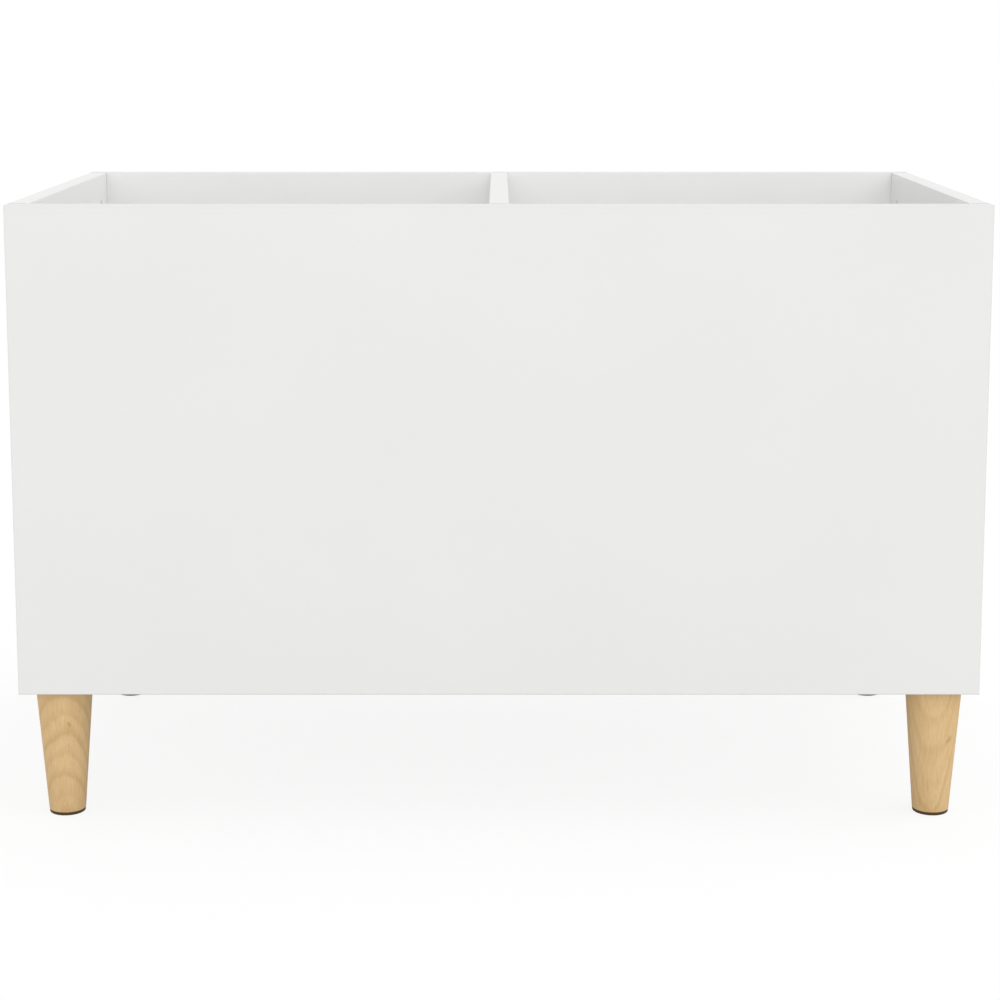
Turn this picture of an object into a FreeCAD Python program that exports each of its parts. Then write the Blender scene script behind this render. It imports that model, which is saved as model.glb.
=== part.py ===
import FreeCAD, Part
import math
import os
from collections import namedtuple
from FreeCAD import Placement, Rotation, Vector

# Open-topped record cabinet: a white board box with two bays on four turned wooden legs.
# Millimetres. The origin is on the floor under the middle of the box, +Z is up, the front faces -Y.

# Box
width = 745.0  # left outer face to right outer face
depth = 380.0  # front outer face to back outer face
box_height = 380.0  # lower edges of the walls to the rim
board = 15.0  # thickness of every board
band = 1.0  # thickness of the plastic edge bands
band_round = 0.7  # rounding along a band's two outer edges

# Legs and foot pads
leg_length = 101.0
leg_top_diameter = 44.5
leg_foot_diameter = 28.5
leg_edge_round = 0.6  # rounding of the turned ends
leg_edge_distance = 15.0  # leg axis to the floor panel's edges
pad_thickness = 2.5
pad_diameter = 28.0
pad_edge_round = 0.8

# Hanger bolts that screw the legs to threaded inserts in the floor panel
hanger_diameter = 8.0
hanger_wood_length = 25.0  # reach into the leg
insert_diameter = 12.0
insert_skin = 2.5  # floor panel left above the insert

# Nails that hold the foot pads
nail_diameter = 2.2
nail_length = 16.0  # under the head
nail_head_diameter = 7.0
nail_head_thickness = 0.8
nail_head_recess = 0.6  # head above the floor

# Cam locks
cam_bore_diameter = 15.0
cam_bore_foot = 1.0  # bore beyond the bolt's head
cam_setback = 30.0  # cam axis to the joint between the boards
cam_rim_drop = 30.0  # upper cams' axis below the rim
cam_floor_rise = 30.0  # lower cams' axis above the floor panel
cam_throw = 1.0  # how far half a turn draws the bolt in
cam_edge_break = 0.4  # chamfer round the visible face
drive_arm_length = 6.6  # cross recess for the screwdriver
drive_arm_width = 1.4
drive_depth_share = 0.6  # of the metal over the cam's chamber
arrow_depth = 0.4
arrow_tip_share = 0.88  # of the cam's radius
arrow_base_share = 0.62
arrow_half_width_share = 0.16
floor_cam_shares = (0.27, 0.73)  # of the depth inside the box

# Bolts that the cams draw in
bolt_head_diameter = 7.0
bolt_head_offset = 0.8  # middle of the head from the cam's axis
bolt_neck_diameter = 4.4
bolt_shank_diameter = 6.0
bolt_collar_diameter = 7.4
bolt_collar_length = 2.0
bolt_thread_diameter = 5.0
bolt_thread_skin = 4.0  # board left beyond the thread
bolt_hole_diameter = 8.0

# Dowels that line the boards up
dowel_diameter = 8.0
dowel_length = 30.0
dowel_edge_break = 0.8
dowel_skin = 5.0  # board left beyond a dowel that enters a face
wall_dowel_shares = (0.35, 0.65)  # of the box's height
bay_dowel_shares = (0.2, 0.8)  # of a bay's width
divider_dowel_shares = (0.2, 0.8)  # of the depth inside the box
floor_dowel_share = 0.5  # of the depth inside the box

# Clearances
fit_clearance = 0.05  # round a fixed pin in its hole
cam_clearance = 0.08  # round a cam in its bore, and round a bolt's head when locked
moving_gap = 0.3  # between a turning cam and anything else
end_gap = 0.5  # beyond the end of a dowel, bolt or nail
overrun = 2.0  # length by which cuts pass the surface they start from

# Levels and inner sizes
box_bottom = pad_thickness + leg_length
rim = box_bottom + box_height
floor_top = box_bottom + board
inner_width = width - 2 * board
inner_depth = depth - 2 * board
bay_width = (inner_width - board) / 2
cam_bore_depth = (board + bolt_head_diameter) / 2 + cam_bore_foot

# Directions
right = Vector(1, 0, 0)
left = Vector(-1, 0, 0)
rear = Vector(0, 1, 0)
front = Vector(0, -1, 0)
up = Vector(0, 0, 1)
down = Vector(0, 0, -1)

Fitting = namedtuple("Fitting", "name carrier mate point normal toward")
Dowel = namedtuple("Dowel", "carrier mate point into")


def slab(low, high):
    """Box between two corners."""
    low = Vector(*low)
    size = Vector(*high) - low
    return Part.makeBox(size.x, size.y, size.z, low)


def rod(start, direction, diameter, length):
    """Round bar from a point along a direction."""
    return Part.makeCylinder(diameter / 2, length, start, direction)


def drilling(mouth, direction, diameter, length):
    """Cutter for a blind hole: it starts outside the surface and ends at the hole's floor."""
    return rod(mouth - direction * overrun, direction, diameter, length + overrun)


def frame_at(point, x_axis, z_axis):
    """Placement whose local X and Z lie along the given directions."""
    return Placement(point, Rotation(x_axis, Vector(), z_axis, "XZY"))


def placed(shape, placement):
    """Copy of a shape moved into a local frame."""
    return shape.transformed(placement.toMatrix(), True)


def outer_rims(shape, level):
    """Outermost circular edge of a turned shape at one height, as a list."""
    rims = [
        edge for edge in shape.Edges
        if edge.Closed and edge.BoundBox.ZMin <= level <= edge.BoundBox.ZMax
    ]
    return [max(rims, key=lambda edge: edge.Length)]


# Boards

def plain_boards():
    """Boards before drilling, each less the edge bands that finish it."""
    low = box_bottom + band
    high = rim - band
    x_panel = width / 2 - band
    x_wall = inner_width / 2
    y_wall = inner_depth / 2
    return {
        "front_panel": slab((-x_panel, -depth / 2, low), (x_panel, -y_wall, high)),
        "back_panel": slab((-x_panel, y_wall, low), (x_panel, depth / 2, high)),
        "left_side_panel": slab((-width / 2, -y_wall, low), (-x_wall, y_wall, high)),
        "right_side_panel": slab((x_wall, -y_wall, low), (width / 2, y_wall, high)),
        "floor_panel": slab((-x_wall, -y_wall, box_bottom), (x_wall, y_wall, floor_top)),
        "centre_divider": slab((-board / 2, -y_wall, floor_top), (board / 2, y_wall, high)),
    }


def band_strip(length, centre, along, outward):
    """Edge band glued on a board's edge, with its two long outer edges rounded."""
    strip = Part.makeBox(length, board, band, Vector(-length / 2, -board / 2, 0))
    outer = [
        edge for edge in strip.Edges
        if edge.BoundBox.XLength > length / 2 and edge.BoundBox.ZMin > band / 2
    ]
    return placed(strip.makeFillet(band_round, outer), frame_at(centre, along, outward))


def edge_bands():
    """Edge bands of the walls, by name."""
    bands = {}
    middle_z = (box_bottom + rim) / 2
    low = box_bottom + band
    high = rim - band
    for name, y in (("front", -(depth - board) / 2), ("back", (depth - board) / 2)):
        bands[name + "_top_band"] = band_strip(width, Vector(0, y, high), right, up)
        bands[name + "_bottom_band"] = band_strip(width, Vector(0, y, low), right, down)
        for side, out in (("left", left), ("right", right)):
            edge = out * (width / 2 - band) + Vector(0, y, middle_z)
            bands[name + "_" + side + "_band"] = band_strip(high - low, edge, up, out)
    for side, out in (("left", left), ("right", right)):
        edge = out * ((width - board) / 2)
        bands[side + "_side_top_band"] = band_strip(inner_depth, edge + up * high, rear, up)
        bands[side + "_side_bottom_band"] = band_strip(inner_depth, edge + up * low, rear, down)
    bands["divider_top_band"] = band_strip(inner_depth, up * high, rear, up)
    return bands


# Joints between the boards

def cam_fittings():
    """Cam locks: where each cam's axis meets the board's face, and which way its bolt lies."""
    fittings = []
    walls = (
        ("left", "left_side_panel", -inner_width / 2, right),
        ("right", "right_side_panel", inner_width / 2, left),
        ("divider", "centre_divider", board / 2, right),
    )
    ends = (("front", "front_panel", front), ("rear", "back_panel", rear))
    levels = (("upper", rim - cam_rim_drop), ("lower", floor_top + cam_floor_rise))
    for wall, carrier, face_x, normal in walls:
        for end, mate, toward in ends:
            for level, z in levels:
                point = Vector(face_x, 0, z) + toward * (inner_depth / 2 - cam_setback)
                name = wall + "_" + end + "_" + level + "_cam"
                fittings.append(Fitting(name, carrier, mate, point, normal, toward))
    for side, toward in (("left", left), ("right", right)):
        for end, share in zip(("front", "rear"), floor_cam_shares):
            y = share * inner_depth - inner_depth / 2
            point = Vector(0, y, box_bottom) + toward * (inner_width / 2 - cam_setback)
            name = "floor_" + side + "_" + end + "_cam"
            fittings.append(Fitting(name, "floor_panel", side + "_side_panel", point, down, toward))
    return fittings


def dowel_places():
    """Dowels: the point where each crosses the joint, and the way it points into the mating board."""
    dowels = []
    walls = (
        ("left_side_panel", -(width - board) / 2),
        ("centre_divider", 0),
        ("right_side_panel", (width - board) / 2),
    )
    for mate, into in (("front_panel", front), ("back_panel", rear)):
        joint = into * (inner_depth / 2)
        for carrier, x in walls:
            for share in wall_dowel_shares:
                point = joint + Vector(x, 0, box_bottom + share * box_height)
                dowels.append(Dowel(carrier, mate, point, into))
        for side in (left, right):
            for share in bay_dowel_shares:
                point = joint + side * (board / 2 + share * bay_width) + up * (box_bottom + board / 2)
                dowels.append(Dowel("floor_panel", mate, point, into))
    for mate, into in (("left_side_panel", left), ("right_side_panel", right)):
        y = floor_dowel_share * inner_depth - inner_depth / 2
        point = into * (inner_width / 2) + Vector(0, y, box_bottom + board / 2)
        dowels.append(Dowel("floor_panel", mate, point, into))
    for share in divider_dowel_shares:
        point = Vector(0, share * inner_depth - inner_depth / 2, floor_top)
        dowels.append(Dowel("centre_divider", "floor_panel", point, down))
    return dowels


def bolt_joint(fitting):
    """Point where a fitting's bolt crosses from its cam's board to the mating board."""
    return fitting.point - fitting.normal * (board / 2) + fitting.toward * cam_setback


def cam_bore(fitting):
    """Blind bore for a cam."""
    return drilling(fitting.point, fitting.normal * -1, cam_bore_diameter, cam_bore_depth)


def bolt_hole(fitting):
    """Hole in a board's end that the bolt's head passes on its way to the cam."""
    return drilling(bolt_joint(fitting), fitting.toward * -1, bolt_hole_diameter, cam_setback)


def thread_hole(fitting):
    """Hole in the mating board that the bolt is screwed into."""
    diameter = bolt_thread_diameter + 2 * fit_clearance
    return drilling(bolt_joint(fitting), fitting.toward, diameter, board - bolt_thread_skin + end_gap)


def dowel_hole(dowel, direction, length):
    """Hole for one end of a dowel."""
    return drilling(dowel.point, direction, dowel_diameter + 2 * fit_clearance, length + end_gap)


def board_holes(name, fittings, dowels):
    """All the holes drilled in one board for cams, bolts and dowels."""
    face_depth = board - dowel_skin
    holes = []
    for fitting in fittings:
        if fitting.carrier == name:
            holes += [cam_bore(fitting), bolt_hole(fitting)]
        if fitting.mate == name:
            holes.append(thread_hole(fitting))
    for dowel in dowels:
        if dowel.carrier == name:
            holes.append(dowel_hole(dowel, dowel.into * -1, dowel_length - face_depth))
        if dowel.mate == name:
            holes.append(dowel_hole(dowel, dowel.into, face_depth))
    return holes


# Fittings

def cam():
    """Locked cam: axis on Z, visible face at z = 0, bolt coming in along +X at mid-board.

    Half a turn about +Z brings the entry, on -X, round to the bolt and sets it free.
    """
    radius = cam_bore_diameter / 2 - cam_clearance
    height = cam_bore_depth - moving_gap
    axis_z = -board / 2
    head = bolt_head_diameter / 2
    body = Part.makeCylinder(radius, height, Vector(0, 0, -height))
    body = body.makeChamfer(cam_edge_break, outer_rims(body, 0))

    # The chamber is eccentric, so its wall draws the bolt's head in as the cam turns
    locked_reach = bolt_head_offset + head + cam_clearance
    chamber_radius = locked_reach + cam_throw / 2
    roof_z = axis_z + head + moving_gap
    chamber = Part.makeCylinder(
        chamber_radius, height + roof_z + overrun, Vector(-cam_throw / 2, 0, -height - overrun)
    )

    # The neck runs in a slot round half the wall, from the bolt's place to the entry
    slot_half = bolt_neck_diameter / 2 + moving_gap
    reach = radius + overrun
    slot = slab((-reach, -reach, axis_z - slot_half), (reach, 0, axis_z + slot_half))
    slot_end = rod(Vector(0, 0, axis_z), right, 2 * slot_half, reach)
    entry_half = head + moving_gap
    entry = rod(Vector(0, 0, axis_z), left, 2 * entry_half, reach)
    entry_floor = slab((-reach, -entry_half, -height - overrun), (0, entry_half, axis_z))

    drive_depth = -roof_z * drive_depth_share
    arm = slab(
        (-drive_arm_length / 2, -drive_arm_width / 2, -drive_depth),
        (drive_arm_length / 2, drive_arm_width / 2, overrun),
    )
    cross_arm = placed(arm, frame_at(Vector(), rear, up))
    return body.cut([chamber, slot, slot_end, entry, entry_floor, arm, cross_arm, cam_arrow(radius)])


def cam_arrow(radius):
    """Cutter for the arrow on a cam's face, which points at the entry."""
    half = radius * arrow_half_width_share
    base = -radius * arrow_base_share
    corners = [
        Vector(base, half, -arrow_depth),
        Vector(-radius * arrow_tip_share, 0, -arrow_depth),
        Vector(base, -half, -arrow_depth),
    ]
    outline = Part.makePolygon(corners + corners[:1])
    return Part.Face(outline).extrude(up * (arrow_depth + overrun))


def cam_bolt():
    """Connecting bolt in the cam's frame: ball head at the cam, thread in the mating board."""
    head = bolt_head_diameter / 2
    neck = bolt_neck_diameter / 2
    shank = bolt_shank_diameter / 2
    collar = bolt_collar_diameter / 2
    thread = bolt_thread_diameter / 2
    neck_start = bolt_head_offset + math.sqrt(head ** 2 - neck ** 2)
    shank_start = cam_bore_diameter / 2 + moving_gap
    collar_start = cam_setback - bolt_collar_length
    tip = cam_setback + board - bolt_thread_skin
    ball = Part.Arc(
        Vector(bolt_head_offset - head, 0, 0), Vector(bolt_head_offset, head, 0), Vector(neck_start, neck, 0)
    )
    steps = [
        Vector(neck_start, neck, 0),
        Vector(shank_start, neck, 0),
        Vector(shank_start, shank, 0),
        Vector(collar_start, shank, 0),
        Vector(collar_start, collar, 0),
        Vector(cam_setback, collar, 0),
        Vector(cam_setback, thread, 0),
        Vector(tip, thread, 0),
        Vector(tip, 0, 0),
        Vector(bolt_head_offset - head, 0, 0),
    ]
    outline = Part.Wire([ball.toShape()] + Part.makePolygon(steps).Edges)
    return Part.Face(outline).revolve(Vector(), right, 360).translated(down * (board / 2))


def dowel_pin(dowel):
    """Wooden dowel with chamfered ends, across its joint."""
    pin = Part.makeCylinder(dowel_diameter / 2, dowel_length)
    ends = outer_rims(pin, 0) + outer_rims(pin, dowel_length)
    pin = pin.makeChamfer(dowel_edge_break, ends)
    start = dowel.point - dowel.into * (dowel_length - board + dowel_skin)
    return placed(pin, Placement(start, Rotation(up, dowel.into)))


# Legs

def leg_places():
    """Names and axes of the four legs."""
    x = inner_width / 2 - leg_edge_distance
    y = inner_depth / 2 - leg_edge_distance
    return {
        "front_left": Vector(-x, -y, 0),
        "front_right": Vector(x, -y, 0),
        "rear_left": Vector(-x, y, 0),
        "rear_right": Vector(x, y, 0),
    }


def leg():
    """Turned leg on the Z axis, drilled for its hanger bolt and its pad's nail."""
    body = Part.makeCone(leg_foot_diameter / 2, leg_top_diameter / 2, leg_length, up * pad_thickness)
    ends = outer_rims(body, pad_thickness) + outer_rims(body, box_bottom)
    body = body.makeFillet(leg_edge_round, ends)
    bolt_bore = drilling(
        up * box_bottom, down, hanger_diameter + 2 * fit_clearance, hanger_wood_length + end_gap
    )
    nail_reach = nail_length - (pad_thickness - nail_head_recess - nail_head_thickness)
    nail_bore = drilling(up * pad_thickness, up, nail_diameter + 2 * fit_clearance, nail_reach + end_gap)
    return body.cut([bolt_bore, nail_bore])


def foot_pad():
    """Round pad under a leg, counterbored for its nail."""
    body = Part.makeCylinder(pad_diameter / 2, pad_thickness)
    body = body.makeFillet(pad_edge_round, outer_rims(body, 0))
    head_bore = drilling(
        Vector(), up, nail_head_diameter + 2 * fit_clearance, nail_head_recess + nail_head_thickness
    )
    shank_bore = rod(down * overrun, up, nail_diameter + 2 * fit_clearance, pad_thickness + 2 * overrun)
    return body.cut([head_bore, shank_bore])


def pad_nail():
    """Flat-headed nail on the Z axis, its head up inside the pad."""
    head = rod(up * nail_head_recess, up, nail_head_diameter, nail_head_thickness)
    shank = rod(up * nail_head_recess, up, nail_diameter, nail_head_thickness + nail_length)
    return head.fuse(shank).removeSplitter()


def leg_insert():
    """Threaded insert in the floor panel, its mouth flush with the underside."""
    length = board - insert_skin
    sleeve = rod(up * box_bottom, up, insert_diameter, length)
    bore = drilling(up * box_bottom, up, hanger_diameter + 2 * fit_clearance, length + overrun)
    return sleeve.cut(bore)


def hanger_bolt():
    """Double-ended bolt: wood thread in the leg, machine thread in the insert."""
    reach_up = board - insert_skin - end_gap
    return rod(up * (box_bottom - hanger_wood_length), up, hanger_diameter, hanger_wood_length + reach_up)


def insert_hole(place):
    """Blind hole in the floor panel for a threaded insert."""
    return drilling(place + up * box_bottom, up, insert_diameter + 2 * fit_clearance, board - insert_skin)


# Assembly

def build():
    """All nodes of the cabinet by name."""
    fittings = cam_fittings()
    dowels = dowel_places()
    legs = leg_places()
    nodes = {}
    for name, plain in plain_boards().items():
        holes = board_holes(name, fittings, dowels)
        if name == "floor_panel":
            holes += [insert_hole(place) for place in legs.values()]
        nodes[name] = plain.cut(holes)
    nodes.update(edge_bands())

    frames = {fitting.name: frame_at(fitting.point, fitting.toward, fitting.normal) for fitting in fittings}
    for name, frame in frames.items():
        nodes[name] = placed(cam(), frame)
    nodes["cam_bolts"] = Part.makeCompound([placed(cam_bolt(), frame) for frame in frames.values()])
    nodes["dowels"] = Part.makeCompound([dowel_pin(dowel) for dowel in dowels])

    for name, place in legs.items():
        nodes[name + "_leg"] = leg().translated(place)
        nodes[name + "_foot_pad"] = foot_pad().translated(place)
    groups = (("leg_inserts", leg_insert()), ("hanger_bolts", hanger_bolt()), ("pad_nails", pad_nail()))
    for name, shape in groups:
        nodes[name] = Part.makeCompound([shape.translated(place) for place in legs.values()])
    return nodes


os.makedirs("parts", exist_ok=True)
for node, shape in build().items():
    shape.exportStep("parts/" + node + ".step")
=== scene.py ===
"""Looks of the open-topped record cabinet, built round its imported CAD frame. Metres, front towards -Y."""

import logging
import math
from dataclasses import dataclass, field
from enum import Enum
from typing import Any

import bmesh
import bpy
from bpy.types import Material, Node, NodeSocket, NodeTree, Object
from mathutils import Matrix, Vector


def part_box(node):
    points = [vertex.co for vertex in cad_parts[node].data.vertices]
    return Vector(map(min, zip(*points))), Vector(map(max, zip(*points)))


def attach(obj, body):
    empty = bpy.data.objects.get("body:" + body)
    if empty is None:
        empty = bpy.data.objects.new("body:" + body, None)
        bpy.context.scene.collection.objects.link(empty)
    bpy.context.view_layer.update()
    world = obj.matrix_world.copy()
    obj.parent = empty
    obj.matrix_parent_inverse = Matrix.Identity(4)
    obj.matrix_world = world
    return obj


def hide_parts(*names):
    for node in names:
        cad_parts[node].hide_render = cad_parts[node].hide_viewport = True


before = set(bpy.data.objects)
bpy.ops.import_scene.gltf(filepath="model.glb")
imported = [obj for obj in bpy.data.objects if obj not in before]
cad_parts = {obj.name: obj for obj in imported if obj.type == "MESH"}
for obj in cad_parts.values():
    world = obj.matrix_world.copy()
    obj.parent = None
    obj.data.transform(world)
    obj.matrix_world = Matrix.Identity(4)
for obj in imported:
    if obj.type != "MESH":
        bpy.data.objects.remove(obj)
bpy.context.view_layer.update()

log = logging.getLogger("record_cabinet")

Settings = dict[str | int, Any]
Links = dict[str | int, NodeSocket]
Outline = list[tuple[float, float]]

CABINET = "cabinet"
MM = 0.001
WHITE = "#FFFFFF"

# A Mix node names its sockets alike for every type of data, so those for colours are picked by number
FACTOR = 0
FIRST_COLOUR = 6
SECOND_COLOUR = 7
MIXED_COLOUR = 2


def linear(code: str) -> tuple[float, float, float, float]:
    """Turns an sRGB hex colour into linear RGBA.

    Args:
        code: Colour such as "#EDEDEB".

    Returns:
        The colour as sockets take it.
    """
    toe = 0.04045
    toe_slope = 12.92
    offset = 0.055
    power = 2.4
    shares = [int(code[place:place + 2], 16) / 255 for place in (1, 3, 5)]
    red, green, blue = (share / toe_slope if share <= toe else ((share + offset) / (1 + offset)) ** power
                        for share in shares)
    return red, green, blue, 1.0


def add_node(tree: NodeTree, kind: str, settings: Settings | None = None,
             links: Links | None = None) -> Node:
    """Adds one node with its settings and links.

    Args:
        tree: Node tree that takes the node.
        kind: Blender's name for the type of node.
        settings: Values by attribute name, or by input name or number; attributes come first.
        links: Output sockets by the name or number of the input that each feeds.

    Returns:
        The new node.
    """
    made = tree.nodes.new(kind)
    for key, value in (settings or {}).items():
        if isinstance(key, int) or key in made.inputs:
            made.inputs[key].default_value = value
        else:
            setattr(made, key, value)
    for key, source in (links or {}).items():
        tree.links.new(source, made.inputs[key])
    return made


class Surface:
    """A material in the making: its node tree, its shader, its Object coordinates and where it faces."""

    def __init__(self, name: str, **settings: float) -> None:
        """Starts the material.

        Args:
            name: Name of the real material.
            settings: Constant values of the shader by input name, with _ for each space.
        """
        self.material = bpy.data.materials.new(name)
        self.material.use_nodes = True
        self.tree = self.material.node_tree
        self.shader = self.tree.nodes["Principled BSDF"]
        for key, value in settings.items():
            self.shader.inputs[key.replace("_", " ")].default_value = value
        coordinates = self.add("ShaderNodeTexCoord").outputs
        self.place = coordinates["Object"]
        self.facing = coordinates["Normal"]

    def add(self, kind: str, settings: Settings | None = None, links: Links | None = None) -> Node:
        """Adds a node to this material's tree."""
        return add_node(self.tree, kind, settings, links)

    def finish(self, tone: NodeSocket, gloss: NodeSocket, relief: NodeSocket) -> Material:
        """Feeds the shader.

        Args:
            tone: Colour of the surface.
            gloss: Its roughness.
            relief: Its bumped normal.

        Returns:
            The finished material.
        """
        for name, source in (("Base Color", tone), ("Roughness", gloss), ("Normal", relief)):
            self.tree.links.new(source, self.shader.inputs[name])
        return self.material


class Run(Enum):
    """Axis that an edge band runs along, and the axis that its broad face looks along."""

    ALONG_X = ("X", "Z")
    ALONG_Y = ("Y", "Z")
    ALONG_Z = ("Z", "X")


@dataclass(frozen=True)
class ButtJoints:
    """Planes where boards butt against each other. Metres from the cabinet's middle or the floor.

    The lines show all over. Where face names an axis, they show up to the first limit along it and have
    faded out at the second.
    """

    name: str
    lines: tuple[tuple[str, float], ...]
    face: str = ""
    limits: tuple[float, float] = (0.0, 0.0)

    def mark(self, surface: Surface, width: float) -> NodeSocket:
        """Adds the dark lines of the joints; on the boards' inner faces they are also painted shade in the
        corners.

        Args:
            surface: Material in the making.
            width: How far a line reaches from its joint, in metres.

        Returns:
            A socket that is 1 on a joint and 0 away from all of them.
        """
        apart = surface.add("ShaderNodeVectorMath", {"operation": "ABSOLUTE"}, {0: surface.place})
        axes = surface.add("ShaderNodeSeparateXYZ", {}, {0: apart.outputs[0]}).outputs
        nearest = None
        for axis, place in self.lines:
            aside = surface.add("ShaderNodeMath", {"operation": "SUBTRACT", 1: place}, {0: axes[axis]})
            gap = surface.add("ShaderNodeMath", {"operation": "ABSOLUTE"}, {0: aside.outputs[0]}).outputs[0]
            if nearest is not None:
                gap = surface.add("ShaderNodeMath", {"operation": "MINIMUM"},
                                  {0: nearest, 1: gap}).outputs[0]
            nearest = gap
        line = surface.add("ShaderNodeMapRange",
                           {"interpolation_type": "SMOOTHSTEP", "From Min": width, "From Max": 0.0},
                           {"Value": nearest}).outputs[0]
        if not self.face:
            return line
        shown, gone = self.limits
        drawn = surface.add("ShaderNodeMapRange", {"From Min": gone, "From Max": shown},
                            {"Value": axes[self.face]}).outputs[0]
        return surface.add("ShaderNodeMath", {"operation": "MULTIPLY"}, {0: drawn, 1: line}).outputs[0]


@dataclass(frozen=True)
class MelamineBoard:
    """White melamine-faced chipboard, pressed under a pearl-grained plate: even, satin, finely pebbled."""

    name: str = "melamine_faced_chipboard"
    white: str = "#F5F5F4"
    shade: str = "#F1F1F0"
    roughness: tuple[float, float] = (0.36, 0.46)
    ior: float = 1.5
    cloud_mm: float = 160.0
    cloud_detail: float = 2.0
    # The pressed grain is about 0.5 mm, drawn coarser so that it shows
    pearl_mm: float = 1.8
    pearl_detail: float = 1.0
    pearl_depth_mm: float = 0.05
    relief: float = 0.35
    # Colour of the joint lines: painted shade in the corners, partly the dark line of the joint itself
    joint: str = "#EAE9E7"
    # The dark line of a tight joint is about 0.3 mm wide, drawn coarser so that it shows; it also stands
    # for painted shade in the corners where the boards meet
    joint_mm: float = 1.3

    def material(self, joints: ButtJoints) -> Material:
        """Builds the material of boards with the same joints.

        Args:
            joints: Where other boards butt against them.

        Returns:
            The boards' material.
        """
        surface = Surface(f"{self.name}_{joints.name}", IOR=self.ior)
        cloud = surface.add("ShaderNodeTexNoise",
                            {"Scale": 1 / (self.cloud_mm * MM), "Detail": self.cloud_detail},
                            {"Vector": surface.place})
        pearl = surface.add("ShaderNodeTexNoise",
                            {"Scale": 1 / (self.pearl_mm * MM), "Detail": self.pearl_detail},
                            {"Vector": surface.place})
        clean = surface.add("ShaderNodeMix",
                            {"data_type": "RGBA", FIRST_COLOUR: linear(self.white),
                             SECOND_COLOUR: linear(self.shade)},
                            {FACTOR: cloud.outputs[0]})
        # Painted corner shade along the joints, partly the joints' own dark lines
        tone = surface.add("ShaderNodeMix", {"data_type": "RGBA", SECOND_COLOUR: linear(self.joint)},
                           {FACTOR: joints.mark(surface, self.joint_mm * MM),
                            FIRST_COLOUR: clean.outputs[MIXED_COLOUR]})
        smoothest, roughest = self.roughness
        gloss = surface.add("ShaderNodeMapRange", {"To Min": smoothest, "To Max": roughest},
                            {"Value": pearl.outputs[0]})
        bump = surface.add("ShaderNodeBump",
                           {"Strength": self.relief, "Distance": self.pearl_depth_mm * MM},
                           {"Height": pearl.outputs[0]})
        return surface.finish(tone.outputs[MIXED_COLOUR], gloss.outputs[0], bump.outputs[0])


@dataclass(frozen=True)
class EdgeBand:
    """White ABS edge band, scraped along its length: satin or dull; broad face darker than the sides,
    partly painted shade.
    """

    name: str = "abs_edge_band"
    white: str = "#EAEAE9"
    shade: str = "#E7E7E6"
    # Colour of the cut sides: partly the whitening of scraped plastic, partly painted light beside the
    # broad face's painted shade
    scraped_side_and_painted_light: str = "#F0F0EF"
    roughness: tuple[float, float] = (0.42, 0.52)
    specular: float = 0.5
    ior: float = 1.53
    # Scraper marks are about 0.1 mm wide, drawn coarser so that they show
    scrape_mm: float = 0.9
    scrape_length_mm: float = 60.0
    scrape_detail: float = 2.0
    scrape_depth_mm: float = 0.02
    relief: float = 0.3
    joint: str = "#8C8B87"
    # The dark line at the end of a band is about 0.3 mm wide, drawn coarser so that it shows
    joint_mm: float = 1.8

    def material(self, run: Run, joints: ButtJoints | None = None) -> Material:
        """Builds the material for bands that run along one axis.

        Args:
            run: Axis of the bands.
            joints: Where the bands' ends butt against other boards, if they do.

        Returns:
            The bands' material.
        """
        surface = Surface(f"{self.name}_{run.name.lower()}", IOR=self.ior, Specular_IOR_Level=self.specular)
        along, outward = run.value
        sizes = [self.scrape_length_mm if axis == along else self.scrape_mm for axis in "XYZ"]
        stretched = surface.add("ShaderNodeMapping", {"Scale": [1 / (size * MM) for size in sizes]},
                                {"Vector": surface.place})
        scrape = surface.add("ShaderNodeTexNoise", {"Scale": 1.0, "Detail": self.scrape_detail},
                             {"Vector": stretched.outputs[0]})
        broad = surface.add("ShaderNodeMix",
                            {"data_type": "RGBA", FIRST_COLOUR: linear(self.white),
                             SECOND_COLOUR: linear(self.shade)},
                            {FACTOR: scrape.outputs[0]})
        # Painted shade: the broad face takes the darker tone and the cut sides the lighter one, partly the
        # real whitening of scraped plastic
        either_way = surface.add("ShaderNodeVectorMath", {"operation": "ABSOLUTE"}, {0: surface.facing})
        flat_on = surface.add("ShaderNodeSeparateXYZ", {}, {0: either_way.outputs[0]}).outputs[outward]
        tone = surface.add("ShaderNodeMix", {"data_type": "RGBA", FIRST_COLOUR: linear(self.scraped_side_and_painted_light)},
                           {FACTOR: flat_on, SECOND_COLOUR: broad.outputs[MIXED_COLOUR]})
        if joints:
            tone = surface.add("ShaderNodeMix", {"data_type": "RGBA", SECOND_COLOUR: linear(self.joint)},
                               {FACTOR: joints.mark(surface, self.joint_mm * MM),
                                FIRST_COLOUR: tone.outputs[MIXED_COLOUR]})
        smoothest, roughest = self.roughness
        gloss = surface.add("ShaderNodeMapRange", {"To Min": smoothest, "To Max": roughest},
                            {"Value": scrape.outputs[0]})
        bump = surface.add("ShaderNodeBump",
                           {"Strength": self.relief, "Distance": self.scrape_depth_mm * MM},
                           {"Height": scrape.outputs[0]})
        return surface.finish(tone.outputs[MIXED_COLOUR], gloss.outputs[0], bump.outputs[0])


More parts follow.
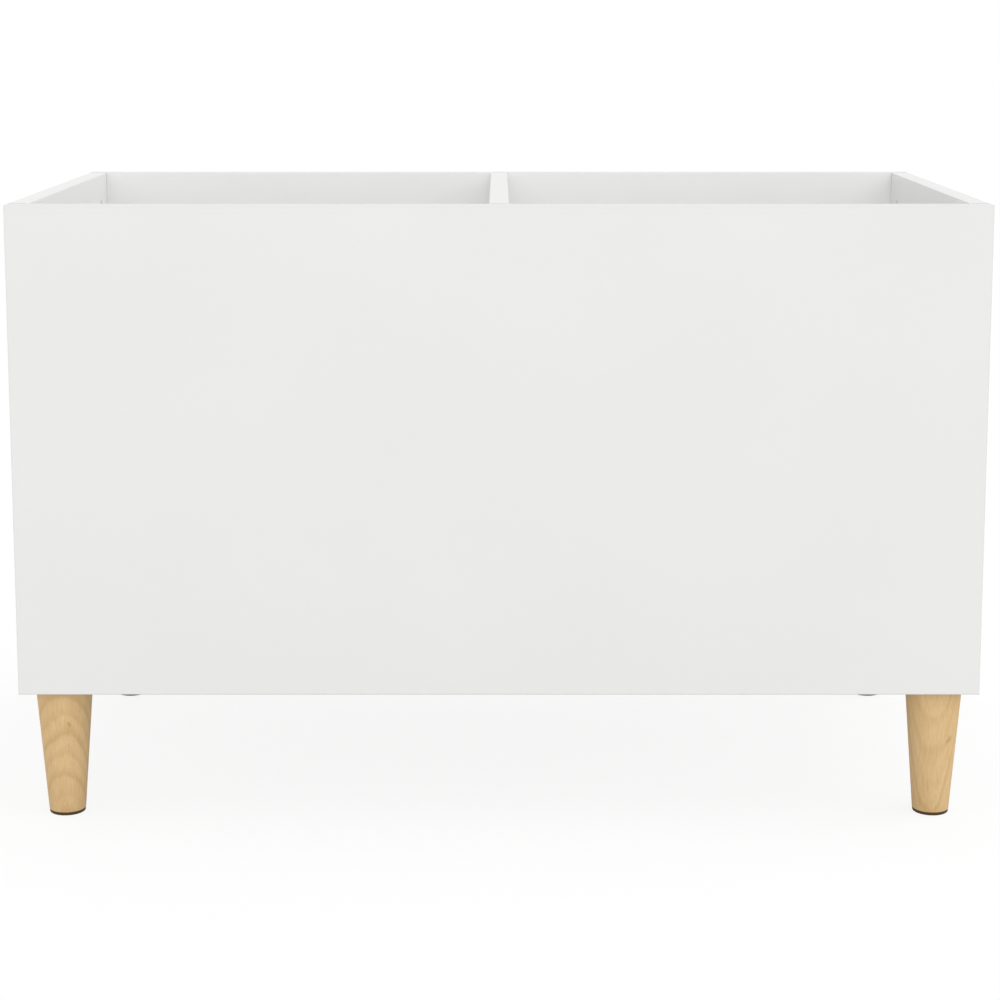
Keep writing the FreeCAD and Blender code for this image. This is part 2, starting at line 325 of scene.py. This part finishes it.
@dataclass(frozen=True)
class Billet:
    """How one leg's blank was cut from the log. Angles in degrees, lengths in millimetres.

    Attributes:
        turn: Turn of the blank about the leg's axis.
        lean: Lean of the log's pith against that axis.
        pith: Distance from the axis to the pith.
        seed: Where the noise starts, so that no two legs are alike.
        ring: Width of a growth ring.
        knot: Middle of the small knot, from the middle of the leg's top.
        knot_size: Its half sizes.
        knot_tilt: Its tilt across the leg.
        knot_lift: How far it pushes the rings aside.
        knot_dark: Share of the mark's colour at its heart.
    """

    turn: float
    lean: float
    pith: float
    seed: float
    ring: float
    knot: tuple[float, float, float]
    knot_size: tuple[float, float, float] = (1.6, 6.0, 3.2)
    knot_tilt: float = 0.0
    knot_lift: float = 1.6
    knot_dark: float = 0.45


@dataclass(frozen=True)
class Thread:
    """A pattern in the wood, drawn out along the grain. Lengths in millimetres.

    Attributes:
        width: Its size across the grain.
        length: Its size along the grain.
        levels: Noise at which it starts to show and shows in full.
        share: How much of its colour then shows.
    """

    width: float
    length: float
    levels: tuple[float, float]
    share: float


@dataclass(frozen=True)
class LegWood:
    """Pale hardwood, turned, sanded and clear-lacquered: soft growth rings, fine fibres, satin sheen."""

    name: str = "lacquered_hardwood"
    light: str = "#ECCB98"
    late: str = "#D2AB74"
    late_share: float = 0.5
    fibre: str = "#C0955C"
    mark: str = "#94703F"
    roughness: tuple[float, float] = (0.5, 0.62)
    ior: float = 1.5
    specular: float = 0.25
    noise_detail: float = 2.0
    wobble_mm: float = 1.8
    wobble_width_mm: float = 16.0
    wobble_length_mm: float = 48.0
    wobble_raggedness: float = 0.45
    # Shares of a year: where the late wood starts and is darkest, then where it starts to end and is over
    darkening: tuple[float, float] = (0.25, 0.8)
    ending: tuple[float, float] = (0.76, 1.0)
    # Weights of the faintest and the boldest year
    year_weights: tuple[float, float] = (0.2, 1.0)
    # Fibres and pores are 0.1 mm wide or less, drawn coarser so that they show
    fibres: Thread = Thread(width=0.8, length=24.0, levels=(0.4, 0.75), share=0.3)
    pores: Thread = Thread(width=0.45, length=4.0, levels=(0.58, 0.75), share=0.22)
    clouds: Thread = Thread(width=16.0, length=48.0, levels=(0.3, 0.7), share=0.3)
    # Factor on a billet's seed that keeps the threads' noise apart from the rings'
    thread_seed: float = 7.0
    pore_depth_mm: float = 0.05
    relief: float = 0.4
    knot_grain_mm: float = 2.0
    # In half sizes of the knot: reach of the rings' swirl, then the heart and the edge of the mark
    knot_swirl: float = 4.0
    knot_fade: tuple[float, float] = (0.1, 1.1)

    def material(self, label: str, axis: Vector, billet: Billet) -> Material:
        """Builds the material of one leg.

        Args:
            label: Name of the leg.
            axis: Middle of the leg's top in the shared frame.
            billet: Cut of this leg's blank.

        Returns:
            The leg's material.
        """
        surface = Surface(f"{self.name}_{label}", IOR=self.ior, Specular_IOR_Level=self.specular)
        local = surface.add("ShaderNodeMapping",
                            {"vector_type": "TEXTURE", "Location": axis,
                             "Rotation": (0, 0, math.radians(billet.turn)), "Scale": (MM, MM, MM)},
                            {"Vector": surface.place}).outputs[0]
        pith = self.from_pith(surface, local, billet)
        knot = self.from_knot(surface, local, billet)
        late = self.late_wood(surface, pith, knot, billet)
        return self.dress(surface, local, late, knot, billet)

    def from_pith(self, surface: Surface, local: NodeSocket, billet: Billet) -> NodeSocket:
        """Measures how far a point lies from the log's pith, with the wobble of the tree's growth.

        Args:
            surface: Material in the making.
            local: Coordinates on the leg, in millimetres.
            billet: Cut of this leg's blank.

        Returns:
            The distance in millimetres.
        """
        in_log = surface.add("ShaderNodeMapping",
                             {"Location": (0, -billet.pith, 0),
                              "Rotation": (math.radians(billet.lean), 0, 0)},
                             {"Vector": local})
        flat = surface.add("ShaderNodeVectorMath", {"operation": "MULTIPLY", 1: (1, 1, 0)},
                           {0: in_log.outputs[0]})
        reach = surface.add("ShaderNodeVectorMath", {"operation": "LENGTH"}, {0: flat.outputs[0]})
        drift = (1 / self.wobble_width_mm, 1 / self.wobble_width_mm, 1 / self.wobble_length_mm)
        wavy = surface.add("ShaderNodeMapping", {"Location": (billet.seed,) * 3, "Scale": drift},
                           {"Vector": local})
        wobble = surface.add("ShaderNodeTexNoise",
                             {"Scale": 1.0, "Detail": self.noise_detail,
                              "Roughness": self.wobble_raggedness},
                             {"Vector": wavy.outputs[0]})
        # The noise runs from 0 to 1, so twice the wobble lets a ring swing that far either way
        return surface.add("ShaderNodeMath", {"operation": "MULTIPLY_ADD", 1: 2 * self.wobble_mm},
                           {0: wobble.outputs[0], 2: reach.outputs["Value"]}).outputs[0]

    def from_knot(self, surface: Surface, local: NodeSocket, billet: Billet) -> NodeSocket:
        """Measures how far a point lies from the small knot, with a ragged edge.

        Args:
            surface: Material in the making.
            local: Coordinates on the leg, in millimetres.
            billet: Cut of this leg's blank.

        Returns:
            The distance in half sizes of the knot.
        """
        ragged = surface.add("ShaderNodeTexNoise",
                             {"Scale": 1 / self.knot_grain_mm, "Detail": self.noise_detail},
                             {"Vector": local})
        pulled = surface.add("ShaderNodeVectorMath",
                             {"operation": "MULTIPLY_ADD", 1: (self.knot_grain_mm,) * 3},
                             {0: ragged.outputs[1], 2: local})
        # The ragged noise pulls every point by half a grain on average, so the knot moves with it
        middle = [place + self.knot_grain_mm / 2 for place in billet.knot]
        aside = surface.add("ShaderNodeMapping",
                            {"vector_type": "TEXTURE", "Location": middle,
                             "Rotation": (0, math.radians(billet.knot_tilt), 0),
                             "Scale": billet.knot_size},
                            {"Vector": pulled.outputs[0]})
        return surface.add("ShaderNodeVectorMath", {"operation": "LENGTH"},
                           {0: aside.outputs[0]}).outputs["Value"]

    def late_wood(self, surface: Surface, pith: NodeSocket, knot: NodeSocket, billet: Billet) -> NodeSocket:
        """Adds the growth rings, which swirl past the knot.

        Args:
            surface: Material in the making.
            pith: Distance from the pith.
            knot: Distance from the knot.
            billet: Cut of this leg's blank.

        Returns:
            The share of dark late wood.
        """
        swirl = surface.add("ShaderNodeMapRange",
                            {"interpolation_type": "SMOOTHSTEP", "From Min": self.knot_swirl,
                             "From Max": 0.0},
                            {"Value": knot})
        lifted = surface.add("ShaderNodeMath", {"operation": "MULTIPLY_ADD", 1: billet.knot_lift},
                             {0: swirl.outputs[0], 2: pith})
        count = surface.add("ShaderNodeMath", {"operation": "DIVIDE", 1: billet.ring},
                            {0: lifted.outputs[0]})
        season = surface.add("ShaderNodeMath", {"operation": "FRACT"}, {0: count.outputs[0]})
        year = surface.add("ShaderNodeMath", {"operation": "FLOOR"}, {0: count.outputs[0]})
        chance = surface.add("ShaderNodeTexWhiteNoise", {"noise_dimensions": "1D"}, {"W": year.outputs[0]})
        faintest, boldest = self.year_weights
        weight = surface.add("ShaderNodeMapRange", {"To Min": faintest, "To Max": boldest},
                             {"Value": chance.outputs[0]})
        begun, darkest = self.darkening
        rise = surface.add("ShaderNodeMapRange",
                           {"interpolation_type": "SMOOTHSTEP", "From Min": begun, "From Max": darkest},
                           {"Value": season.outputs[0]})
        fading, over = self.ending
        fall = surface.add("ShaderNodeMapRange",
                           {"interpolation_type": "SMOOTHSTEP", "From Min": over, "From Max": fading},
                           {"Value": season.outputs[0]})
        ring = surface.add("ShaderNodeMath", {"operation": "MULTIPLY"},
                           {0: rise.outputs[0], 1: fall.outputs[0]})
        return surface.add("ShaderNodeMath", {"operation": "MULTIPLY"},
                           {0: ring.outputs[0], 1: weight.outputs[0]}).outputs[0]

    def draw_out(self, surface: Surface, local: NodeSocket, thread: Thread,
                 billet: Billet) -> tuple[NodeSocket, NodeSocket]:
        """Adds one pattern that is drawn out along the grain.

        Args:
            surface: Material in the making.
            local: Coordinates on the leg, in millimetres.
            thread: The pattern.
            billet: Cut of this leg's blank.

        Returns:
            The bare noise, and the share of the pattern's colour.
        """
        drawn = surface.add("ShaderNodeMapping",
                            {"Location": (billet.seed * self.thread_seed,) * 3,
                             "Scale": (1 / thread.width, 1 / thread.width, 1 / thread.length)},
                            {"Vector": local})
        noise = surface.add("ShaderNodeTexNoise", {"Scale": 1.0, "Detail": self.noise_detail},
                            {"Vector": drawn.outputs[0]}).outputs[0]
        begun, full = thread.levels
        share = surface.add("ShaderNodeMapRange",
                            {"From Min": begun, "From Max": full, "To Max": thread.share},
                            {"Value": noise}).outputs[0]
        return noise, share

    def dress(self, surface: Surface, local: NodeSocket, late: NodeSocket, knot: NodeSocket,
              billet: Billet) -> Material:
        """Adds fibres, pores, the knot's mark and lacquer over the rings.

        Args:
            surface: Material in the making.
            local: Coordinates on the leg, in millimetres.
            late: Share of late wood.
            knot: Distance from the knot.
            billet: Cut of this leg's blank.

        Returns:
            The finished material.
        """
        fibre_noise, streaks = self.draw_out(surface, local, self.fibres, billet)
        pores = self.draw_out(surface, local, self.pores, billet)[1]
        patches = self.draw_out(surface, local, self.clouds, billet)[1]
        depth = surface.add("ShaderNodeMath", {"operation": "MULTIPLY_ADD", 1: self.late_share},
                            {0: late, 2: patches})
        heart, edge = self.knot_fade
        spot = surface.add("ShaderNodeMapRange",
                           {"interpolation_type": "SMOOTHSTEP", "From Min": edge, "From Max": heart,
                            "To Max": billet.knot_dark},
                           {"Value": knot})
        tone = surface.add("ShaderNodeMix",
                           {"data_type": "RGBA", FIRST_COLOUR: linear(self.light),
                            SECOND_COLOUR: linear(self.late)},
                           {FACTOR: depth.outputs[0]})
        for colour, share in ((self.fibre, streaks), (self.mark, pores), (self.mark, spot.outputs[0])):
            tone = surface.add("ShaderNodeMix", {"data_type": "RGBA", SECOND_COLOUR: linear(colour)},
                               {FACTOR: share, FIRST_COLOUR: tone.outputs[MIXED_COLOUR]})
        smoothest, roughest = self.roughness
        gloss = surface.add("ShaderNodeMapRange", {"To Min": smoothest, "To Max": roughest},
                            {"Value": fibre_noise})
        bump = surface.add("ShaderNodeBump",
                           {"Strength": self.relief, "Distance": self.pore_depth_mm * MM, "invert": True},
                           {"Height": pores})
        return surface.finish(tone.outputs[MIXED_COLOUR], gloss.outputs[0], bump.outputs[0])


@dataclass(frozen=True)
class Mottled:
    """A surface with one even grain in tone, gloss and relief, from its mould, its plating or its saw."""

    name: str
    light: str
    dark: str
    roughness: tuple[float, float]
    grain_mm: tuple[float, float, float]
    depth_mm: float
    metallic: float = 0.0
    specular: float = 0.5
    detail: float = 4.0
    raggedness: float = 0.6
    relief: float = 0.4

    def material(self) -> Material:
        """Builds the material.

        Returns:
            The finished material.
        """
        surface = Surface(self.name, Metallic=self.metallic, Specular_IOR_Level=self.specular)
        drawn = surface.add("ShaderNodeMapping", {"Scale": [1 / (size * MM) for size in self.grain_mm]},
                            {"Vector": surface.place})
        grain = surface.add("ShaderNodeTexNoise",
                            {"Scale": 1.0, "Detail": self.detail, "Roughness": self.raggedness},
                            {"Vector": drawn.outputs[0]})
        tone = surface.add("ShaderNodeMix",
                           {"data_type": "RGBA", FIRST_COLOUR: linear(self.light),
                            SECOND_COLOUR: linear(self.dark)},
                           {FACTOR: grain.outputs[0]})
        smoothest, roughest = self.roughness
        gloss = surface.add("ShaderNodeMapRange", {"To Min": smoothest, "To Max": roughest},
                            {"Value": grain.outputs[0]})
        bump = surface.add("ShaderNodeBump", {"Strength": self.relief, "Distance": self.depth_mm * MM},
                           {"Height": grain.outputs[0]})
        return surface.finish(tone.outputs[MIXED_COLOUR], gloss.outputs[0], bump.outputs[0])


# Moulded polypropylene: dark brown, matt, with the fine spark-eroded grain of its mould
PAD_PLASTIC = Mottled("moulded_polypropylene", light="#54432B", dark="#43341F", roughness=(0.5, 0.62),
                      grain_mm=(0.9, 0.9, 0.9), depth_mm=0.04, specular=0.25)
# Bare die-cast zinc: dull grey, faintly clouded, with the flow marks of the casting
CAST_ZINC = Mottled("die_cast_zinc", light="#ECECEC", dark="#D4D5D6", roughness=(0.5, 0.64),
                    grain_mm=(1.6, 1.6, 1.6), depth_mm=0.06, metallic=1.0)
# Zinc-plated steel: a little bluer and glossier than the castings, with drawn lines
PLATED_STEEL = Mottled("zinc_plated_steel", light="#D0D2D4", dark="#B4B7BB", roughness=(0.25, 0.4),
                       grain_mm=(0.8, 0.8, 3.0), depth_mm=0.02, metallic=1.0)
# Plain beech dowel rod: pale, dry, short brown flecks
BEECH = Mottled("beech_dowel_rod", light="#DDBD90", dark="#C39B68", roughness=(0.6, 0.75),
                grain_mm=(0.7, 5.0, 5.0), depth_mm=0.05)


def coat(node: str, material: Material) -> None:
    """Gives a CAD node its material.

    Args:
        node: Name of the node.
        material: Material for all its slots.
    """
    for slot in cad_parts[node].material_slots:
        slot.material = material
    log.info("%s wears %s", node, material.name)


@dataclass
class Carcass:
    """The white box: boards, edge bands, and the fastenings inside the joints."""

    walls: tuple[str, ...] = ("front_panel", "back_panel")
    sides: tuple[str, ...] = ("left_side_panel", "right_side_panel")
    divider: str = "centre_divider"
    floor: str = "floor_panel"
    bands: dict[Run, tuple[str, ...]] = field(default_factory=lambda: {
        Run.ALONG_X: ("front_top_band", "front_bottom_band", "back_top_band", "back_bottom_band"),
        Run.ALONG_Y: ("left_side_top_band", "left_side_bottom_band", "right_side_top_band",
                      "right_side_bottom_band", "divider_top_band"),
        Run.ALONG_Z: ("front_left_band", "front_right_band", "back_left_band", "back_right_band"),
    })
    # The bands of the front and the back panel are duller than the rest, and their upright ones whiter
    strips: dict[Run, EdgeBand] = field(default_factory=lambda: {
        # Painted shade: the front and back bands' broad faces are toned a little darker than the others'
        Run.ALONG_X: EdgeBand(white="#E9E9E8", shade="#E6E6E5", roughness=(0.9, 1.0), specular=0.2),
        Run.ALONG_Y: EdgeBand(),
        Run.ALONG_Z: EdgeBand(white="#F0F0EF", shade="#EDEDEC", roughness=(0.9, 1.0), specular=0.2),
    })
    steel: tuple[str, ...] = ("cam_bolts", "hanger_bolts", "leg_inserts", "pad_nails")
    dowels: str = "dowels"
    # Depth behind a face at which the lines of its joints, in part painted corner shade, have faded out
    joint_shade_depth: float = 0.001

    def dress(self) -> None:
        """Gives every board, band and fastening its material."""
        for nodes, joints in self.joints().items():
            white = MelamineBoard().material(joints)
            for node in nodes:
                coat(node, white)
        ends = ButtJoints("ends", (("Y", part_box(self.sides[0])[1].y),))
        for run, nodes in self.bands.items():
            strip = self.strips[run].material(run, ends if run is Run.ALONG_Y else None)
            for node in nodes:
                coat(node, strip)
        plated = PLATED_STEEL.material()
        for node in self.steel:
            coat(node, plated)
        coat(self.dowels, BEECH.material())

    def joints(self) -> dict[tuple[str, ...], ButtJoints]:
        """Finds where the boards butt against each other.

        Returns:
            The joints that show on each group of boards.
        """
        inner_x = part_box(self.sides[1])[0].x
        inner_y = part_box(self.walls[1])[0].y
        floor_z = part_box(self.floor)[1].z
        divider_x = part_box(self.divider)[1].x
        depth = self.joint_shade_depth
        across = (("X", inner_x), ("X", divider_x))
        along = (("Y", inner_y), ("Z", floor_z))
        # The boards' joint lines are painted shade in the corners, partly the joints' own dark lines
        return {
            self.walls: ButtJoints("walls", across + (("Z", floor_z),), "Y", (inner_y, inner_y + depth)),
            self.sides: ButtJoints("sides", along, "X", (inner_x, inner_x + depth)),
            (self.divider,): ButtJoints("divider", along, "X", (divider_x, divider_x + depth)),
            (self.floor,): ButtJoints("floor", across + (("Y", inner_y),), "Z", (floor_z, floor_z - depth)),
        }


@dataclass
class CamLocks:
    """The turning cams."""

    ending: str = "_cam"

    def dress(self) -> None:
        """Gives every cam the die-cast finish."""
        zinc = CAST_ZINC.material()
        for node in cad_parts:
            if node.endswith(self.ending):
                coat(node, zinc)


@dataclass
class Lathe:
    """Turned pieces: an outline of (radius, height) points, spun about a vertical axis."""

    steps: int = 96
    rim_segments: int = 4
    sharp_angle: float = math.radians(35)
    tolerance: float = 1e-6

    def turn(self, name: str, axis: Vector, outline: Outline, rims: dict[float, float], node: str,
             slot: str, material: Material) -> Object:
        """Spins one closed outline into a piece that stands for a CAD node.

        Args:
            name: Name of the piece.
            axis: Point on the axis; heights count from it.
            outline: Closed outline, radius and height in metres.
            rims: Rounding of the outermost rims by height.
            node: CAD node that the piece replaces.
            slot: The record's material slot; not used.
            material: Material of the piece.

        Returns:
            The new object.
        """
        shape = bmesh.new()
        corners = [shape.verts.new(axis + Vector((radius, 0, height))) for radius, height in outline]
        edges = [shape.edges.new((corners[place - 1], corners[place])) for place in range(len(corners))]
        bmesh.ops.spin(shape, geom=corners + edges, cent=axis, axis=(0, 0, 1), angle=2 * math.pi,
                       steps=self.steps, use_merge=True)
        bmesh.ops.remove_doubles(shape, verts=shape.verts, dist=self.tolerance)
        bmesh.ops.recalc_face_normals(shape, faces=shape.faces)
        for height, rounding in rims.items():
            widest = max(radius for radius, level in outline if abs(level - height) < self.tolerance)
            rim = [edge for edge in shape.edges if self.on_rim(edge, axis, widest, height)]
            bmesh.ops.bevel(shape, geom=rim, offset=rounding, offset_type="OFFSET",
                            segments=self.rim_segments, profile=0.5, affect="EDGES", material=-1)
        for face in shape.faces:
            face.smooth = True
        mesh = bpy.data.meshes.new(name)
        shape.to_mesh(mesh)
        shape.free()
        mesh.set_sharp_from_angle(angle=self.sharp_angle)
        mesh.materials.append(material)
        piece = bpy.data.objects.new(name, mesh)
        bpy.context.scene.collection.objects.link(piece)
        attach(piece, CABINET)
        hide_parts(node)
        log.info("%s replaces %s with %d faces", name, node, len(mesh.polygons))
        return piece

    def on_rim(self, edge: bmesh.types.BMEdge, axis: Vector, radius: float, height: float) -> bool:
        """Tells whether an edge lies on one circle round the axis.

        Args:
            edge: Edge of the turned shape.
            axis: Point on the axis; the height counts from it.
            radius: The circle's radius.
            height: The circle's height.

        Returns:
            True if both ends of the edge lie on the circle.
        """
        for corner in edge.verts:
            aside = corner.co - axis
            if abs(aside.z - height) > self.tolerance or abs(aside.xy.length - radius) > self.tolerance:
                return False
        return True


@dataclass
class Legs:
    """Four turned legs on their foot pads. Sizes in metres, bores as (radius, depth)."""

    # Radii where the sides would meet the ends, before the rims are eased
    top_radius: float = 0.02225
    foot_radius: float = 0.01425
    edge_round: float = 0.0006
    bolt_bore: tuple[float, float] = (0.00405, 0.0255)
    nail_bore: tuple[float, float] = (0.00115, 0.0154)
    pad_round: float = 0.0008
    head_bore: tuple[float, float] = (0.00355, 0.0014)
    lathe: Lathe = field(default_factory=Lathe)
    billets: dict[str, Billet] = field(default_factory=lambda: {
        "front_left": Billet(turn=4, lean=-26, pith=60, seed=1.7, ring=6.0, knot=(5, -18, -27),
                             knot_tilt=-25),
        "front_right": Billet(turn=-12, lean=4, pith=62, seed=4.1, ring=3.6, knot=(13, -13, -41),
                              knot_size=(1.8, 6.0, 5.0), knot_tilt=30),
        "rear_left": Billet(turn=160, lean=5, pith=80, seed=8.3, ring=4.0, knot=(-8, 14, -60)),
        "rear_right": Billet(turn=205, lean=9, pith=66, seed=12.9, ring=4.6, knot=(6, 15, -30)),
    })

    def build(self) -> None:
        """Turns every leg and pad in the place and to the height of its CAD node."""
        plastic = PAD_PLASTIC.material()
        wood = LegWood()
        for corner, billet in self.billets.items():
            leg = f"{corner}_leg"
            low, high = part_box(leg)
            top = Vector(((low.x + high.x) / 2, (low.y + high.y) / 2, high.z))
            length = high.z - low.z
            self.lathe.turn(f"turned_{leg}", top, self.leg_outline(length),
                            {0.0: self.edge_round, -length: self.edge_round},
                            leg, "leg_wood", wood.material(corner, top, billet))
            pad = f"{corner}_foot_pad"
            low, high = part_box(pad)
            floor = Vector((top.x, top.y, low.z))
            outline = self.pad_outline((high.x - low.x) / 2, high.z - low.z)
            self.lathe.turn(f"moulded_{pad}", floor, outline, {0.0: self.pad_round},
                            pad, "foot_pad", plastic)

    def leg_outline(self, length: float) -> Outline:
        """Outlines a leg, with the bores for its bolt and its nail.

        Args:
            length: The leg's length.

        Returns:
            Points of radius and height, from the leg's top.
        """
        bolt, bolt_depth = self.bolt_bore
        nail, nail_depth = self.nail_bore
        return [
            (self.foot_radius, -length), (self.top_radius, 0.0), (bolt, 0.0), (bolt, -bolt_depth),
            (0.0, -bolt_depth), (0.0, nail_depth - length), (nail, nail_depth - length), (nail, -length),
        ]

    def pad_outline(self, radius: float, thickness: float) -> Outline:
        """Outlines a pad, with the hole for its nail and the counterbore for the nail's head.

        Args:
            radius: The pad's radius.
            thickness: The pad's thickness.

        Returns:
            Points of radius and height, from the floor.
        """
        head, head_depth = self.head_bore
        nail = self.nail_bore[0]
        return [
            (radius, 0.0), (radius, thickness), (nail, thickness), (nail, head_depth), (head, head_depth),
            (head, 0.0),
        ]


@dataclass(frozen=True)
class Lamp:
    """A broad, distant softbox. Angles in degrees.

    Attributes:
        azimuth: Where it stands: 0 on the camera's side, 90 on the cabinet's right.
        elevation: How high it hangs.
        strength: How much light it gives.
        breadth: How wide it looks from the cabinet.
        glint: Whether glossy surfaces mirror it.
    """

    azimuth: float
    elevation: float
    strength: float
    breadth: float = 40.0
    glint: bool = True


@dataclass
class Studio:
    """Pale floor, soft light and the camera at the photograph's viewing angle.

    Attributes:
        eye: Where the camera stands, in metres.
        pitch: How far it looks down, in radians.
        lens: Its focal length in millimetres.
        sensor: Its sensor's width in millimetres.
        shift: Its lens shift, in shares of the picture's width.
        sky: Strength of the room's even light.
        floor_size: Width of the floor in metres.
        floor_white: Colour with which the floor throws light back.
        floor_glow: Share of pure white in the floor as it is seen; the rest takes the shadow.
        lamps: Softboxes by name.
    """

    eye: tuple[float, float, float] = (0.0, -1.890, 0.6215)
    pitch: float = math.radians(8.2962)
    lens: float = 81.591
    sensor: float = 36.0
    shift: tuple[float, float] = (0.00102, -0.15)
    sky: float = 0.78
    floor_size: float = 40.0
    floor_white: str = "#CACAC8"
    floor_glow: float = 0.85
    lamps: dict[str, Lamp] = field(default_factory=lambda: {
        "right_softbox": Lamp(azimuth=90, elevation=45, strength=0.74, breadth=60),
        "front_softbox": Lamp(azimuth=0, elevation=15, strength=0.68),
        "rear_softbox": Lamp(azimuth=190, elevation=8, strength=0.5, glint=False),
    })

    def build(self) -> None:
        """Sets up the camera, the world, the floor and the lamps."""
        bpy.context.scene.view_settings.view_transform = "Standard"
        self.set_camera()
        self.set_world()
        self.lay_floor()
        self.hang_lamps()

    def set_camera(self) -> None:
        """Places the camera at the photograph's eye point."""
        data = bpy.data.cameras.new("camera")
        data.lens = self.lens
        data.sensor_width = self.sensor
        data.shift_x, data.shift_y = self.shift
        camera = bpy.data.objects.new("camera", data)
        camera.location = self.eye
        camera.rotation_euler = (math.pi / 2 - self.pitch, 0, 0)
        bpy.context.scene.collection.objects.link(camera)
        bpy.context.scene.camera = camera

    @staticmethod
    def seen(tree: NodeTree) -> NodeSocket:
        """Adds the share of rays that see the background: from the camera, off metal or through glass.

        Args:
            tree: Node tree of the floor or the world.

        Returns:
            A socket that is 1 for those rays.
        """
        path = add_node(tree, "ShaderNodeLightPath")
        mirrored = add_node(tree, "ShaderNodeMath", {"operation": "MAXIMUM"},
                            {0: path.outputs["Is Camera Ray"], 1: path.outputs["Is Glossy Ray"]})
        return add_node(tree, "ShaderNodeMath", {"operation": "MAXIMUM"},
                        {0: mirrored.outputs[0], 1: path.outputs["Is Transmission Ray"]}).outputs[0]

    def set_world(self) -> None:
        """Fills the room with even light, seen as white."""
        world = bpy.data.worlds.new("white_room")
        bpy.context.scene.world = world
        world.use_nodes = True
        tree = world.node_tree
        tree.nodes.clear()
        lit = add_node(tree, "ShaderNodeBackground", {"Color": linear(WHITE), "Strength": self.sky})
        white = add_node(tree, "ShaderNodeBackground", {"Color": linear(WHITE), "Strength": 1.0})
        both = add_node(tree, "ShaderNodeMixShader", {},
                        {0: self.seen(tree), 1: lit.outputs[0], 2: white.outputs[0]})
        add_node(tree, "ShaderNodeOutputWorld", {}, {"Surface": both.outputs[0]})

    def lay_floor(self) -> None:
        """Lays a floor of matt backdrop paper that shows white but keeps the shadow."""
        shape = bmesh.new()
        bmesh.ops.create_grid(shape, x_segments=1, y_segments=1, size=self.floor_size / 2)
        mesh = bpy.data.meshes.new("floor")
        shape.to_mesh(mesh)
        shape.free()
        paper = bpy.data.materials.new("white_backdrop_paper")
        paper.use_nodes = True
        tree = paper.node_tree
        tree.nodes.clear()
        matt = add_node(tree, "ShaderNodeBsdfDiffuse", {"Color": linear(self.floor_white)})
        glow = add_node(tree, "ShaderNodeEmission", {"Color": linear(WHITE), "Strength": 1.0})
        shadowed = add_node(tree, "ShaderNodeBsdfDiffuse", {"Color": linear(WHITE)})
        shown = add_node(tree, "ShaderNodeMixShader", {0: self.floor_glow},
                         {1: shadowed.outputs[0], 2: glow.outputs[0]})
        both = add_node(tree, "ShaderNodeMixShader", {},
                        {0: self.seen(tree), 1: matt.outputs[0], 2: shown.outputs[0]})
        add_node(tree, "ShaderNodeOutputMaterial", {}, {"Surface": both.outputs[0]})
        mesh.materials.append(paper)
        floor = bpy.data.objects.new("floor", mesh)
        bpy.context.scene.collection.objects.link(floor)

    def hang_lamps(self) -> None:
        """Hangs the lamps, far enough away to light the cabinet evenly."""
        for name, lamp in self.lamps.items():
            data = bpy.data.lights.new(name, "SUN")
            data.energy = lamp.strength
            data.angle = math.radians(lamp.breadth)
            hung = bpy.data.objects.new(name, data)
            hung.rotation_euler = (math.radians(90 - lamp.elevation), 0, math.radians(lamp.azimuth))
            hung.visible_glossy = lamp.glint
            bpy.context.scene.collection.objects.link(hung)


def main() -> None:
    """Builds and dresses the cabinet in the studio."""
    logging.basicConfig(level=logging.INFO, format="%(name)s: %(message)s")
    Carcass().dress()
    CamLocks().dress()
    Legs().build()
    Studio().build()


if __name__ == "__main__":
    main()
